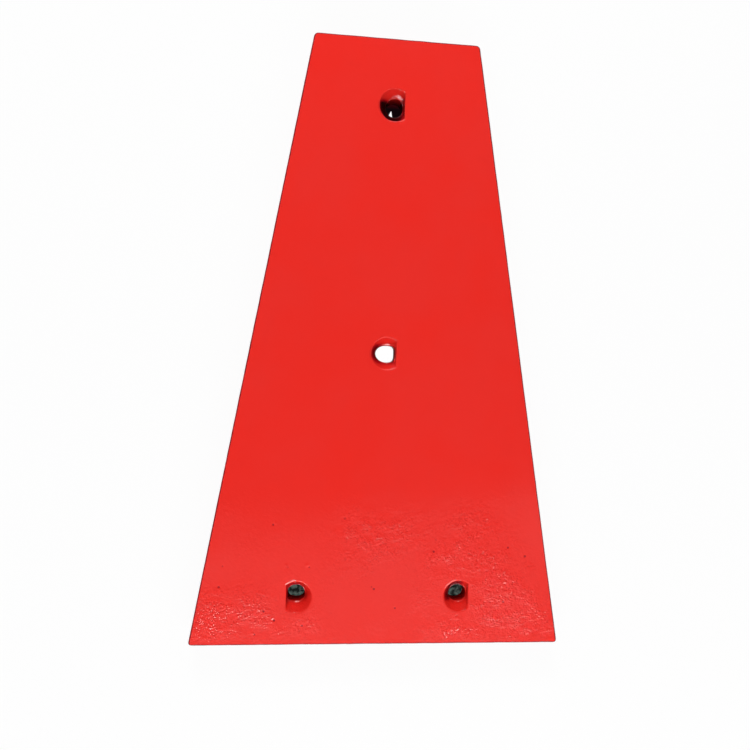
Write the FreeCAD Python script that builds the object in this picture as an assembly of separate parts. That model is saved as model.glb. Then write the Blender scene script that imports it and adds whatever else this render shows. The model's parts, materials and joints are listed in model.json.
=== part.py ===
"""Jaw crusher cheek plate: a cast manganese steel liner, bolted to the side wall of the crushing chamber.

Millimetres, +Z up. The plate lies on its flat back face, with its wear face up.
+Y runs along the plate's centreline from the wide end to the narrow end, and +X is across it.
The origin is the centre of the plate's outline, on the back face.
"""

import FreeCAD
import Part
import math
import os

from FreeCAD import Vector

# Outline of the wear face, with sharp corners.
PLATE_LENGTH = 900.0
WIDE_END_WIDTH = 560.0
NARROW_END_WIDTH = 245.0
PLATE_THICKNESS = 40.0

# Casting details: the sides taper towards the back face, and no edge is sharp.
SIDE_DRAFT_DEG = 1.5
WIDE_END_CORNER_RADIUS = 4.5
NARROW_END_CORNER_RADIUS = 7.0
WEAR_EDGE_RADIUS = 3.0
BACK_EDGE_RADIUS = 2.0

# Bolt hole: a round bore for the shank, opening into a cone with one flat side for the bolt's head.
BOLT_SHANK_DIAMETER = 24.0
BORE_CLEARANCE = 3.0
SEAT_MOUTH_DIAMETER = 48.0
SEAT_CONE_ANGLE_DEG = 60.0
SEAT_FLAT_OUTSIDE_BORE = 0.5
SEAT_CORNER_RADIUS = 2.0
SEAT_MOUTH_RADIUS = 2.0
BORE_EXIT_RADIUS = 1.0

# Where the holes are, along the centreline from each end and across it.
TOP_HOLE_FROM_NARROW_END = 95.0
MIDDLE_HOLE_FROM_WIDE_END = 438.0
LOWER_HOLES_FROM_WIDE_END = 72.0
LOWER_HOLES_SPACING = 246.0

# The side of its hole that each flat is on: +1 for +X, -1 for -X.
TOP_FLAT_SIDE = 1
MIDDLE_FLAT_SIDE = 1
LOWER_LEFT_FLAT_SIDE = -1
LOWER_RIGHT_FLAT_SIDE = 1

BORE_RADIUS = (BOLT_SHANK_DIAMETER + BORE_CLEARANCE) / 2
SEAT_MOUTH_HALF = SEAT_MOUTH_DIAMETER / 2
SEAT_FLAT_OFFSET = BORE_RADIUS + SEAT_FLAT_OUTSIDE_BORE
SEAT_SLOPE = math.tan(math.radians(SEAT_CONE_ANGLE_DEG / 2))
SEAT_DEPTH = (SEAT_MOUTH_HALF - BORE_RADIUS) / SEAT_SLOPE

# How far a cutter reaches past the face that it cuts, and how near two heights count as the same.
CUTTER_OVERRUN = 5.0
SAME_PLACE = 0.01


def hole_places():
    """Each bolt hole's name, its place on the wear face and the side of its flat."""
    half_length = PLATE_LENGTH / 2
    lower_y = LOWER_HOLES_FROM_WIDE_END - half_length
    half_spacing = LOWER_HOLES_SPACING / 2
    return [
        ("top", 0.0, half_length - TOP_HOLE_FROM_NARROW_END, TOP_FLAT_SIDE),
        ("middle", 0.0, MIDDLE_HOLE_FROM_WIDE_END - half_length, MIDDLE_FLAT_SIDE),
        ("lower_left", -half_spacing, lower_y, LOWER_LEFT_FLAT_SIDE),
        ("lower_right", half_spacing, lower_y, LOWER_RIGHT_FLAT_SIDE),
    ]


def outline_at(height):
    """The outline's four corners at a height, drawn in by the draft below the wear face."""
    inset = (PLATE_THICKNESS - height) * math.tan(math.radians(SIDE_DRAFT_DEG))
    half_length = PLATE_LENGTH / 2
    lean = math.atan((WIDE_END_WIDTH - NARROW_END_WIDTH) / 2 / PLATE_LENGTH)
    side_inset = inset / math.cos(lean)
    end_shift = inset * math.tan(lean)
    wide_half = WIDE_END_WIDTH / 2 - side_inset - end_shift
    narrow_half = NARROW_END_WIDTH / 2 - side_inset + end_shift
    return [
        Vector(-wide_half, -half_length + inset, height),
        Vector(wide_half, -half_length + inset, height),
        Vector(narrow_half, half_length - inset, height),
        Vector(-narrow_half, half_length - inset, height),
    ]


def flat_face(corners):
    """The flat face with these corners, which go anticlockwise as seen from outside the plate."""
    return Part.Face(Part.makePolygon(corners + corners[:1]))


def sharp_plate():
    """The tapering plate with flat drafted sides, before any edge is rounded."""
    back = outline_at(0.0)
    wear = outline_at(PLATE_THICKNESS)
    faces = [flat_face(wear), flat_face(back[::-1])]
    for i in range(len(back)):
        following = (i + 1) % len(back)
        faces.append(flat_face([back[i], back[following], wear[following], wear[i]]))
    shell = Part.makeShell(faces)
    shell.sewShape()
    return Part.makeSolid(shell)


def corner_edges(solid, end):
    """The two upright edges where the sides meet an end: -1 is the wide end, +1 the narrow one."""
    found = []
    for edge in solid.Edges:
        heights = sorted(vertex.Z for vertex in edge.Vertexes)
        from_back = heights[0] < SAME_PLACE
        to_wear_face = heights[-1] > PLATE_THICKNESS - SAME_PLACE
        if from_back and to_wear_face and edge.BoundBox.Center.y * end > 0:
            found.append(edge)
    return found


def edges_at_height(solid, height):
    """Every edge that lies wholly in the horizontal plane at a height."""
    return [
        edge
        for edge in solid.Edges
        if abs(edge.BoundBox.ZMin - height) < SAME_PLACE
        and abs(edge.BoundBox.ZMax - height) < SAME_PLACE
    ]


def plate_blank():
    """The cast plate before its holes: drafted sides, rounded corners and rounded edges."""
    blank = sharp_plate()
    blank = blank.makeFillet(WIDE_END_CORNER_RADIUS, corner_edges(blank, -1))
    blank = blank.makeFillet(NARROW_END_CORNER_RADIUS, corner_edges(blank, 1))
    blank = blank.makeFillet(WEAR_EDGE_RADIUS, edges_at_height(blank, PLATE_THICKNESS))
    return blank.makeFillet(BACK_EDGE_RADIUS, edges_at_height(blank, 0.0))


def seat_cutter(flat_side):
    """What a tapered bolt head with one flat side fills, on the hole's own axis, past the wear face."""
    overrun_half = SEAT_MOUTH_HALF + CUTTER_OVERRUN * SEAT_SLOPE
    cone_height = SEAT_DEPTH + CUTTER_OVERRUN
    cone = Part.makeCone(
        BORE_RADIUS,
        overrun_half,
        cone_height,
        Vector(0, 0, PLATE_THICKNESS - SEAT_DEPTH),
    )
    kept_width = overrun_half + SEAT_FLAT_OFFSET
    kept_from = -overrun_half if flat_side > 0 else -SEAT_FLAT_OFFSET
    kept = Part.makeBox(
        kept_width,
        2 * overrun_half,
        cone_height,
        Vector(kept_from, -overrun_half, PLATE_THICKNESS - SEAT_DEPTH),
    )
    return cone.common(kept)


def bore_cutter():
    """The round hole for the bolt's shank, through the whole plate."""
    length = PLATE_THICKNESS + 2 * CUTTER_OVERRUN
    return Part.makeCylinder(BORE_RADIUS, length, Vector(0, 0, -CUTTER_OVERRUN))


def near_hole(edge, x, y):
    """Whether an edge belongs to the hole on this axis."""
    middle = edge.BoundBox.Center
    return math.hypot(middle.x - x, middle.y - y) < SEAT_MOUTH_DIAMETER


def flat_corner_edges(solid, x, y, flat_side):
    """The curved edge where a hole's flat side meets its cone."""
    flat_x = x + flat_side * SEAT_FLAT_OFFSET
    return [
        edge
        for edge in solid.Edges
        if abs(edge.BoundBox.XMin - flat_x) < SAME_PLACE
        and abs(edge.BoundBox.XMax - flat_x) < SAME_PLACE
        and near_hole(edge, x, y)
        and edge.BoundBox.ZLength > SAME_PLACE
    ]


def cut_hole(plate, x, y, flat_side):
    """Cuts one bolt hole and rounds the corners of its flat, its mouth and its exit on the back face."""
    place = Vector(x, y, 0)
    for cutter in (seat_cutter(flat_side), bore_cutter()):
        cutter.translate(place)
        plate = plate.cut(cutter)
    plate = plate.makeFillet(
        SEAT_CORNER_RADIUS, flat_corner_edges(plate, x, y, flat_side)
    )
    mouth = [e for e in edges_at_height(plate, PLATE_THICKNESS) if near_hole(e, x, y)]
    plate = plate.makeFillet(SEAT_MOUTH_RADIUS, mouth)
    exit_edge = [e for e in edges_at_height(plate, 0.0) if near_hole(e, x, y)]
    return plate.makeFillet(BORE_EXIT_RADIUS, exit_edge)


def cheek_plate():
    """The whole casting, with its four bolt holes."""
    plate = plate_blank()
    for name, x, y, flat_side in hole_places():
        plate = cut_hole(plate, x, y, flat_side)
        print("%s hole at x %.1f, y %.1f" % (name, x, y))
    return plate.Solids[0]


os.makedirs("parts", exist_ok=True)
plate = cheek_plate()
plate.exportStep("parts/cheek_plate.step")
box = plate.optimalBoundingBox(True, False)
print("cheek_plate solids %d, valid %s" % (len(plate.Solids), plate.isValid()))
print("width %.2f, length %.2f, thickness %.2f" % (box.XLength, box.YLength, box.ZLength))
print("volume %.1f cm3, seat depth %.2f mm" % (plate.Volume / 1000, SEAT_DEPTH))
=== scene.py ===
# %% [markdown]
# A jaw crusher's cheek plate is a flat steel casting that lines the side of the crushing chamber.
# It is wide at one end and narrow at the other, because the chamber closes like a V.
# This lesson dresses the construction model of such a plate: it keeps every size and adds
# the uneven skin of a casting and its glossy red paint.

import json
import math
import random

import bpy
import numpy as np
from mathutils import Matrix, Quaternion, Vector, geometry, noise


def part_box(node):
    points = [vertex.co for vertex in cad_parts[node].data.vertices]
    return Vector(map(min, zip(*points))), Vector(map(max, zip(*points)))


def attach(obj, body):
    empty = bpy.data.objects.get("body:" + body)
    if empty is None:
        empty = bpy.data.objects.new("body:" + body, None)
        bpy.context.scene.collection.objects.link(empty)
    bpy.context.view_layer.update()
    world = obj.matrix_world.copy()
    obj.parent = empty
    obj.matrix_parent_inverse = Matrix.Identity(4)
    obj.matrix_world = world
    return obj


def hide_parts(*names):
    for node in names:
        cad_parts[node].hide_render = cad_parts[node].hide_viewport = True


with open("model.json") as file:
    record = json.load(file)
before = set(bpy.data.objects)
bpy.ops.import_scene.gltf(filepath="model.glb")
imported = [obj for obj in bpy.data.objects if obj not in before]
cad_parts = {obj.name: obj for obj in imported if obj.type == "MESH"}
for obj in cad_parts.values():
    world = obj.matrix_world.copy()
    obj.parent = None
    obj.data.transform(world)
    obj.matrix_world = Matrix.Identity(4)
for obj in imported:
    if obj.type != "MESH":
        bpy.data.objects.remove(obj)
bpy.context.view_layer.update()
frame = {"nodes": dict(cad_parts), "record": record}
NODE = "cheek_plate"
MM = 0.001
print("nodes in the model:", sorted(frame["nodes"]))

# %% [markdown]
# The model already says how large the plate is and where its bolt holes are. A dressed piece that
# reads those values can't drift away from the model, so only the shape of the outline and
# the small radii are written again here. The wear face is up, and the narrow end is towards +Y.

# %% Read the sizes
low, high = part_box(NODE)
THICKNESS = high.z - low.z
HALF_LENGTH = 450 * MM
HALF_WIDE_END = 280 * MM
HALF_NARROW_END = 122.5 * MM
SIDE_DRAFT = math.tan(math.radians(1.5))
WIDE_END_CORNER_RADIUS = 4.5 * MM
NARROW_END_CORNER_RADIUS = 7 * MM
BACK_EDGE_RADIUS = 2 * MM

bore_mounts = [mount for mount in frame["record"]["mounts"] if mount["kind"] == "bore"]
bores = {mount["name"]: Vector(mount["pos_m"][:2]) for mount in bore_mounts}
BORE_RADIUS = bore_mounts[0]["dims"]["r_mm"] * MM
print("plate", [round(v / MM, 1) for v in high - low], "mm, bolt holes:", sorted(bores))

# %% [markdown]
# The camera comes first, because it decides how fine each part of the surface must be.
# The plate was photographed from about a metre above, looking almost straight down, a little
# left of the centreline. The place and the turn were solved from the outline's corners
# and the holes, so the camera needs no shift.

# %% Place the camera
CAMERA_PLACE = Vector((-114.0, -15.2, 999.6)) * MM
CAMERA_TURN_DEG = (-1.916, -5.675, 1.986)
SENSOR_WIDTH = 36.0
IMAGE_WIDTH_PX = 750
FOCAL_LENGTH_PX = 650

camera_data = bpy.data.cameras.new("camera")
camera_data.sensor_width = SENSOR_WIDTH
camera_data.lens = SENSOR_WIDTH * FOCAL_LENGTH_PX / IMAGE_WIDTH_PX
camera = bpy.data.objects.new("camera", camera_data)
camera.location = CAMERA_PLACE
camera.rotation_euler = [math.radians(angle) for angle in CAMERA_TURN_DEG]
bpy.context.scene.collection.objects.link(camera)
bpy.context.scene.camera = camera
print("lens %.1f mm" % camera_data.lens)

# %% [markdown]
# A casting is never quite flat. Its skin keeps the long swells of the mould, shorter ripples
# where the paint ran together, and a rough patch or two. All of it is far too shallow to see
# by its shade, but a glossy face shows it in its reflections. Layers of smooth noise, each
# with its own length and height, give that. The lower part of the plate is the rough part.

# %% The skin of the casting
SWELLS = [(210 * MM, 0.16 * MM), (75 * MM, 0.045 * MM)]
RIPPLES = [(24 * MM, 0.020 * MM), (11 * MM, 0.012 * MM)]
ROUGH_RIPPLES = [(22 * MM, 0.12 * MM), (9 * MM, 0.05 * MM)]
SKIN_ALLOWANCE = 0.66 * MM

# The rough part: where it begins and is full, how far and how quickly its border wanders, how rough it is
# on the whole and how much that varies, and how uneven the rough patches on it are.
ROUGH_FROM_Y = -170 * MM
ROUGH_FULL_Y = -290 * MM
BORDER_WANDER = 45 * MM
BORDER_LENGTH = 120 * MM
ROUGH_LEVEL = 0.13
ROUGH_VARIES = 0.14
ROUGH_VARIES_LENGTH = 45 * MM
ROUGH_EVERYWHERE = 0.05
PATCH_LEVEL = 0.85
PATCH_VARIES = 0.9
PATCH_VARIES_LENGTH = 15 * MM
PATCH_REACH = 2

# Where the skin is roughest: x, y and radius in millimetres, and how much rougher it is there.
ROUGH_PATCHES = [
    (-44, -264, 30, 0.55),
    (-9, -299, 38, 0.65),
    (36, -276, 34, 0.60),
    (135, -263, 45, 0.60),
    (156, -324, 42, 0.80),
    (209, -352, 34, 0.50),
    (187, -401, 48, 0.75),
    (244, -422, 38, 0.45),
    (111, -435, 38, 0.50),
    (70, -382, 24, 0.35),
    (91, -321, 30, 0.55),
    (-53, -329, 24, 0.30),
    (-248, -414, 34, 0.75),
    (-256, -389, 24, 0.50),
    (-191, -389, 32, 0.60),
    (-173, -414, 30, 0.60),
    (-116, -427, 28, 0.55),
]

# Every use of the noise takes a slice of its own, so that no two patterns line up.
SLICES = {
    "swells": 1.7, "edge": 2.9, "border": 3.1, "shade_streaks": 3.3, "seat": 4.4, "ripples": 5.2,
    "shade_clouds": 5.8, "rough_ripples": 6.1, "back": 6.6, "ledge": 7.7, "rough_part": 8.3, "patch": 9.6,
}


def smooth_step(value, start, end):
    """0 before start, 1 after end, and a smooth rise between them."""
    share = min(1.0, max(0.0, (value - start) / (end - start)))
    return share * share * (3 - 2 * share)


def wave(place, length, noise_slice):
    """Smooth noise from -1 to 1 whose swells are about this length apart."""
    return noise.noise(Vector((place[0] / length, place[1] / length, noise_slice)))


def roughness_at(x, y):
    """How rough the skin is, from 0 to 1: rough at the wide end, in uneven patches."""
    border = BORDER_WANDER * wave((x, y), BORDER_LENGTH, SLICES["border"])
    lower = smooth_step(y + border, ROUGH_FROM_Y, ROUGH_FULL_Y)
    share = ROUGH_LEVEL + ROUGH_VARIES * wave((x, y), ROUGH_VARIES_LENGTH, SLICES["rough_part"])
    for patch_x, patch_y, radius, extra in ROUGH_PATCHES:
        distance = math.hypot(x / MM - patch_x, y / MM - patch_y) / radius
        if distance < PATCH_REACH:
            uneven = PATCH_LEVEL + PATCH_VARIES * wave((x, y), PATCH_VARIES_LENGTH, SLICES["patch"])
            share += extra * math.exp(-distance * distance) * uneven
    return min(1.0, max(0.0, lower * share + ROUGH_EVERYWHERE))


print("roughness at the middle: %.2f" % roughness_at(0, 0))
print("roughness near the wide end: %.2f" % roughness_at(0, -400 * MM))

# %% [markdown]
# On the rough part there are single marks too: blisters where gas lifted the skin, and pits where
# a grain of sand broke out. They could be painted on, but a real bump also turns the gloss. The few that
# stand out are listed one by one, where the real plate has them. The rest are scattered by a seeded
# random draw, so they come out the same each time, and most of them land where the skin is rough.

# %% Blisters and pits
# Each mark in millimetres: its place on the wear face, its radius and its height, below zero for a pit.
STANDING_MARKS = [
    (-176.0, -397.4, 3.2, 0.51),
    (-171.0, -399.0, 3.0, -0.36),
    (-168.0, -396.6, 2.6, 0.48),
    (-158.8, -409.4, 3.2, 0.51),
    (-155.2, -412.6, 3.0, -0.38),
    (-159.6, -415.0, 2.5, 0.43),
    (-186.7, -431.5, 2.9, 0.48),
    (-183.4, -433.4, 2.6, -0.29),
    (-160.6, -269.6, 2.8, -0.29),
    (-157.0, -267.2, 2.6, 0.36),
    (-113.7, -420.8, 2.7, -0.31),
    (-120.2, -426.0, 2.6, 0.48),
    (-118.0, -428.4, 2.4, -0.26),
    (-237.1, -362.7, 3.0, -0.31),
    (-232.2, -331.6, 2.6, -0.24),
    (-140.0, -330.0, 3.0, 0.43),
    (-137.2, -333.0, 2.6, -0.22),
    (-109.1, -329.9, 3.2, 0.48),
    (-105.8, -332.6, 2.7, -0.26),
    (-8.1, -365.7, 3.0, -0.34),
    (-11.6, -362.4, 2.4, -0.24),
    (24.7, -394.8, 2.8, -0.29),
    (81.0, -308.7, 3.0, -0.34),
    (117.0, -314.0, 3.0, 0.43),
    (196.0, -302.0, 3.0, -0.29),
    (205.0, -370.0, 3.2, 0.43),
    (192.0, -386.0, 3.0, -0.29),
    (223.2, -315.3, 3.0, -0.34),
]
SCATTERED_MARKS = 520
MARK_RADII = (1.5, 2.8)
MARK_HEIGHTS = (0.05, 0.18)
MARK_CROWDING = 1.5
MARK_SEED = 11


def scattered_marks():
    """Small blisters and pits at random places, kept where the skin is rough enough."""
    draw = random.Random(MARK_SEED)
    marks = []
    while len(marks) < SCATTERED_MARKS:
        x = draw.uniform(-HALF_WIDE_END, HALF_WIDE_END)
        y = draw.uniform(-HALF_LENGTH, HALF_LENGTH)
        radius = draw.uniform(*MARK_RADII) * MM
        height = draw.uniform(*MARK_HEIGHTS) * MM * draw.choice((-1, 1))
        if draw.random() < roughness_at(x, y) ** MARK_CROWDING:
            marks.append((x, y, radius, height))
    return marks


marks = [tuple(value * MM for value in mark) for mark in STANDING_MARKS] + scattered_marks()
print("marks on the skin:", len(marks))

# %% [markdown]
# Swells, ripples and marks together give one height for every place on the wear face. The edge and the
# holes ask for it too, so the skin runs on over them without a step. The highest places end at the
# stated thickness: the whole skin lies a little lower, and what still stands out is cut off flat.
# The marks are sorted into square cells first, so that a place only looks at the marks near it.

# %% Height of the skin
MARK_CELL = 12 * MM
MARK_REACH = 1.6
MARK_STEEPNESS = 2.2

marks_by_cell = {}
for mark in marks:
    cell = (math.floor(mark[0] / MARK_CELL), math.floor(mark[1] / MARK_CELL))
    marks_by_cell.setdefault(cell, []).append(mark)


def marks_height(x, y):
    """What the blisters and pits near a point add to the skin."""
    column, row = math.floor(x / MARK_CELL), math.floor(y / MARK_CELL)
    total = 0.0
    for i in (-1, 0, 1):
        for j in (-1, 0, 1):
            for mark_x, mark_y, radius, height in marks_by_cell.get((column + i, row + j), ()):
                share = math.hypot(x - mark_x, y - mark_y) / radius
                if share < MARK_REACH:
                    total += height * math.exp(-MARK_STEEPNESS * share * share)
    return total


def skin_height(x, y):
    """Height of the cast skin over the flat wear face, from below zero up to zero."""
    rough = roughness_at(x, y)
    height = sum(tall * wave((x, y), long, SLICES["swells"]) for long, tall in SWELLS)
    height += sum(tall * wave((x, y), long, SLICES["ripples"]) for long, tall in RIPPLES)
    height += rough * sum(tall * wave((x, y), long, SLICES["rough_ripples"]) for long, tall in ROUGH_RIPPLES)
    return min(0.0, height + marks_height(x, y) - SKIN_ALLOWANCE)


print("skin at the middle: %.2f mm" % (skin_height(0, 0) / MM))


# %% [markdown]
# The outline is a tapering plate with rounded corners. Offsetting it inwards point by point gives
# the rings that the rounded edge, the drafted side and the back need. A fixed loop of points with an
# outward direction each does that: every ring is the same loop, moved in by some distance, so
# neighbouring rings always match and can be joined into faces.

# %% The outline loop
LOOP_SPACING = 4.2 * MM
CORNER_STEPS = 6


def corner_arc(corner, before, after, radius):
    """Points and outward directions round one corner that is rounded off by a radius."""
    to_before = (before - corner).normalized()
    to_after = (after - corner).normalized()
    half_angle = to_before.angle(to_after) / 2
    centre = corner + (to_before + to_after).normalized() * (radius / math.sin(half_angle))
    start = Vector((to_before.y, -to_before.x))
    end = Vector((-to_after.y, to_after.x))
    start = start if start.dot(corner - centre) > 0 else -start
    end = end if end.dot(corner - centre) > 0 else -end
    arc = []
    for step in range(CORNER_STEPS + 1):
        outward = start.lerp(end, step / CORNER_STEPS).normalized()
        arc.append((centre + outward * radius, outward))
    return arc


def outline_loop():
    """The wear face's outline, anticlockwise from above: points and outward directions."""
    corners = [
        (Vector((-HALF_WIDE_END, -HALF_LENGTH)), WIDE_END_CORNER_RADIUS),
        (Vector((HALF_WIDE_END, -HALF_LENGTH)), WIDE_END_CORNER_RADIUS),
        (Vector((HALF_NARROW_END, HALF_LENGTH)), NARROW_END_CORNER_RADIUS),
        (Vector((-HALF_NARROW_END, HALF_LENGTH)), NARROW_END_CORNER_RADIUS),
    ]
    loop = []
    for i, (corner, radius) in enumerate(corners):
        arc = corner_arc(corner, corners[i - 1][0], corners[(i + 1) % 4][0], radius)
        if loop:
            loop += straight_run(loop[-1], arc[0])
        loop += arc
    loop += straight_run(loop[-1], loop[0])
    return loop


def straight_run(first, last):
    """Evenly spaced points between two outline points that face the same way."""
    steps = max(1, round((last[0] - first[0]).length / LOOP_SPACING))
    return [(first[0].lerp(last[0], i / steps), first[1]) for i in range(1, steps)]


outline = outline_loop()
print("outline points:", len(outline))

# %% [markdown]
# The edges of a casting are knocked off with a grinder, which leaves a narrow bevel that wanders by half
# a millimetre and meets the wear face in a sharp line. The two ends are the most uneven. A bevel modifier
# would make it the same all round. Here the bevel is a short list of insets and depths, and the loop
# is drawn in by a little noise, never pushed out, so the plate stays inside its stated size.

# %% The edge, ring by ring
# The bevel from the wear face to the side: each step's inset and depth in millimetres.
WEAR_EDGE = [(2.3, 0.0), (2.0, 0.17), (1.2, 0.60), (0.5, 1.10), (0.15, 1.50), (0.03, 2.0)]
EDGE_WANDER = [(34 * MM, 0.30 * MM), (9 * MM, 0.22 * MM)]
END_EXTRA_WANDER = 1.6
END_FACING = 0.7
BACK_EDGE_WANDER = 0.35
SIDE_STEPS = 8
BACK_EDGE_STEPS = 4


def edge_wander(place, outward):
    """How far the edge is drawn in at a point of the outline."""
    at_an_end = abs(outward.y) > END_FACING
    wander = sum(deep * abs(wave(place, long, SLICES["edge"])) for long, deep in EDGE_WANDER)
    return wander * (END_EXTRA_WANDER if at_an_end else 1.0)


def edge_profile():
    """Rings from the wear face over the edge, down the side and under to the back: inset and height."""
    rings = []
    for inset, depth in WEAR_EDGE:
        rings.append(((inset + depth * SIDE_DRAFT) * MM, THICKNESS - depth * MM))
    side_top = rings[-1][1]
    for step in range(1, SIDE_STEPS):
        height = side_top + (BACK_EDGE_RADIUS - side_top) * step / SIDE_STEPS
        rings.append(((THICKNESS - height) * SIDE_DRAFT, height))
    bottom_inset = THICKNESS * SIDE_DRAFT
    for step in range(BACK_EDGE_STEPS + 1):
        angle = math.radians(90 * step / BACK_EDGE_STEPS)
        inset = bottom_inset + BACK_EDGE_RADIUS * (1 - math.cos(angle))
        rings.append((inset, BACK_EDGE_RADIUS * (1 - math.sin(angle))))
    return rings


def edge_ring(inset, height):
    """One ring of points round the plate's edge."""
    upper = smooth_step(height, 0.0, THICKNESS)
    ring = []
    for place, outward in outline:
        wander = edge_wander(place, outward) * (BACK_EDGE_WANDER + (1 - BACK_EDGE_WANDER) * upper)
        drawn_in = inset + wander
        flat = place - outward * drawn_in
        ring.append((flat.x, flat.y, height + skin_height(flat.x, flat.y) * upper))
    return ring


edge_rings = [edge_ring(inset, height) for inset, height in edge_profile()]
print("edge rings:", len(edge_rings))

# %% [markdown]
# Each bolt hole is a bore that opens into a tapered seat for the bolt's head. The seat has one flat
# side, so that the bolt can't turn while its nut is tightened. The cone doesn't run straight into
# the bore: the core of the mould left a small uneven ledge between them. Cutting these forms with
# booleans would leave hard, sharp lines. Here each ring of the hole is a circle cut off by a
# line, and the two are blended into one smooth, slightly hand-made D. What all four holes share
# comes first, and then what was read from the photo for each one.

# %% The shape of a bolt seat
SEAT_MOUTH_RADIUS = 24 * MM
SEAT_SLOPE = math.tan(math.radians(30))
FLAT_OFFSET = BORE_RADIUS + 0.5 * MM
RIM_RADIUS = 2 * MM
RIM_SLOPES_DEG = (5, 13, 19, 23, 28, 36, 46, 55)
RIM_LENGTH = 0.30 * MM
BEVEL_STEPS = (2, 3, 4)
BEVEL_FULL = 0.5 * MM
BEVEL_STARTS_DEG = (90, 104)
BEVEL_ENDS_DEG = (154, 172)
BEVEL_PLACES_DEG = (100, 130, 158)
EXIT_RADIUS = 1 * MM
LEDGE_SHARES = (0.10, 0.30, 0.55, 0.80, 1.0)
LIP_RADIUS = 1.2 * MM
ROUND = 2.0

# What differs from hole to hole. Lengths are in millimetres, directions in degrees anticlockwise from +X.
# flat_side: the side of the flat. seat_shift: how far the seat's core lay off the bore's axis.
# rim_size: the rim's rounding beside the usual one. bevel and bevel_slopes: how wide a bevel the rim
# has on its upper left, and its slope in degrees at the three places.
# ledge, wide_ledge and ledge_fall: how wide the ledge is, the direction in which it is wider and by
# how much, and how steep. bore: how far the bore's wall is from the axis towards -X, +X, -Y and +Y.
# squareness: how square the bore is beside the flat, where 2 is round.
# Painted shade darkens each hole's walls with depth; on some walls it sets in deeper. walls: the direction
# of each such wall and the depths where its painted shade begins and is full. other_walls: those depths
# elsewhere. Last: how far past full it darkens the rest, towards black.
SEATS = {
    "top_bolt_hole": {
        "flat_side": 1, "seat_shift": (-0.9, -1.6),
        "rim_size": 0.6, "bevel": 0.0, "bevel_slopes": (23, 23, 23),
        "ledge": 0.4, "wide_ledge": (68, 4.6), "ledge_fall": 0.92,
        "bore": (13.5, 12.0, 13.5, 13.5), "squareness": 2.2,
        "walls": ((90, 20.0, 75.0), (0, 0.0, 34.0)), "other_walls": (-1.2, 4.5), "deep_shade": 0.5,
    },
    "middle_bolt_hole": {
        "flat_side": 1, "seat_shift": (-0.7, 0.3),
        "rim_size": 1.0, "bevel": 0.0, "bevel_slopes": (23, 23, 23),
        "ledge": 1.6, "wide_ledge": (90, 1.2), "ledge_fall": 0.60,
        "bore": (16.4, 13.4, 13.4, 12.0), "squareness": 3.6,
        "walls": ((0, 20.0, 90.0), (75, 12.0, 60.0), (270, 3.0, 34.0)),
        "other_walls": (-2.0, 8.0), "deep_shade": 0.2,
    },
    "lower_left_bolt_hole": {
        "flat_side": -1, "seat_shift": (-1.4, 0.0),
        "rim_size": 0.9, "bevel": 1.5, "bevel_slopes": (17.6, 20.8, 27.6),
        "ledge": 1.6, "wide_ledge": (270, 0.6), "ledge_fall": 0.90,
        "bore": (13.9, 12.2, 11.8, 13.5), "squareness": 2.6,
        "walls": ((290, 30.0, 110.0), (0, 6.0, 70.0)), "other_walls": (1.5, 22.0), "deep_shade": 0.0,
    },
    "lower_right_bolt_hole": {
        "flat_side": 1, "seat_shift": (-0.6, 1.3),
        "rim_size": 0.9, "bevel": 1.5, "bevel_slopes": (17.0, 18.3, 23.0),
        "ledge": 1.6, "wide_ledge": (270, 0.6), "ledge_fall": 0.90,
        "bore": (13.5, 13.5, 12.0, 13.5), "squareness": 2.2,
        "walls": ((280, 30.0, 110.0), (0, 20.0, 110.0)), "other_walls": (0.0, 14.0), "deep_shade": 0.2,
    },
}


def side_share(angle, direction):
    """1 in a direction, falling to 0 a quarter turn away from it."""
    return max(0.0, math.cos(angle - math.radians(direction))) ** 2


def bore_reach(angle, seat):
    """How far the bore's wall is from the axis: round, with squarer corners beside the flat."""
    across, along = math.cos(angle), math.sin(angle)
    half_across = seat["bore"][1 if across > 0 else 0] * MM
    half_along = seat["bore"][3 if along > 0 else 2] * MM
    power = seat["squareness"] if across * seat["flat_side"] > 0 else ROUND
    return (abs(across / half_across) ** power + abs(along / half_along) ** power) ** (-1 / power)


def arc_steps(count, full_angle_deg):
    """Pairs of 1 - sine and 1 - cosine for the steps of a rounding, from its start to its end."""
    angles = [math.radians(full_angle_deg * step / count) for step in range(count + 1)]
    return [(1 - math.sin(angle), 1 - math.cos(angle)) for angle in angles]


print("seats:", {name: seat["flat_side"] for name, seat in SEATS.items()})

# %% [markdown]
# Going down a hole in one direction, the wall is a chain of short steps: over the rim, down the cone, across
# the ledge and its lip, down the bore and out over its edge at the back. The rim is rounded in
# steps of known slope, because a glossy rim glints only where its slope faces midway between the lamp and
# the eye. On the upper left the lower holes' rims are scraped to a bevel, which widens three of the steps.

# %% The rings of a hole on one side
CONE_STEPS = 8
LIP_STEPS = 5
BORE_STEPS = 8
EXIT_STEPS = 3


def rim_steps(roundness, bevel, bevel_slope):
    """How far the rim of the cone runs in and down at each of its steps, from the wear face."""
    inwards, down = 0.0, 0.0
    steps = [(inwards, down)]
    for number, slope in enumerate(RIM_SLOPES_DEG):
        length = RIM_LENGTH * roundness
        if number in BEVEL_STEPS:
            length += bevel / len(BEVEL_STEPS)
            slope += (bevel_slope - slope) * min(1.0, bevel / BEVEL_FULL)
        inwards += length * math.cos(math.radians(slope))
        down += length * math.sin(math.radians(slope))
        steps.append((inwards, down))
    return steps


def even_shares(count):
    """Evenly spaced shares after 0, up to 1."""
    return np.linspace(0, 1, count + 1)[1:]


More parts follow.
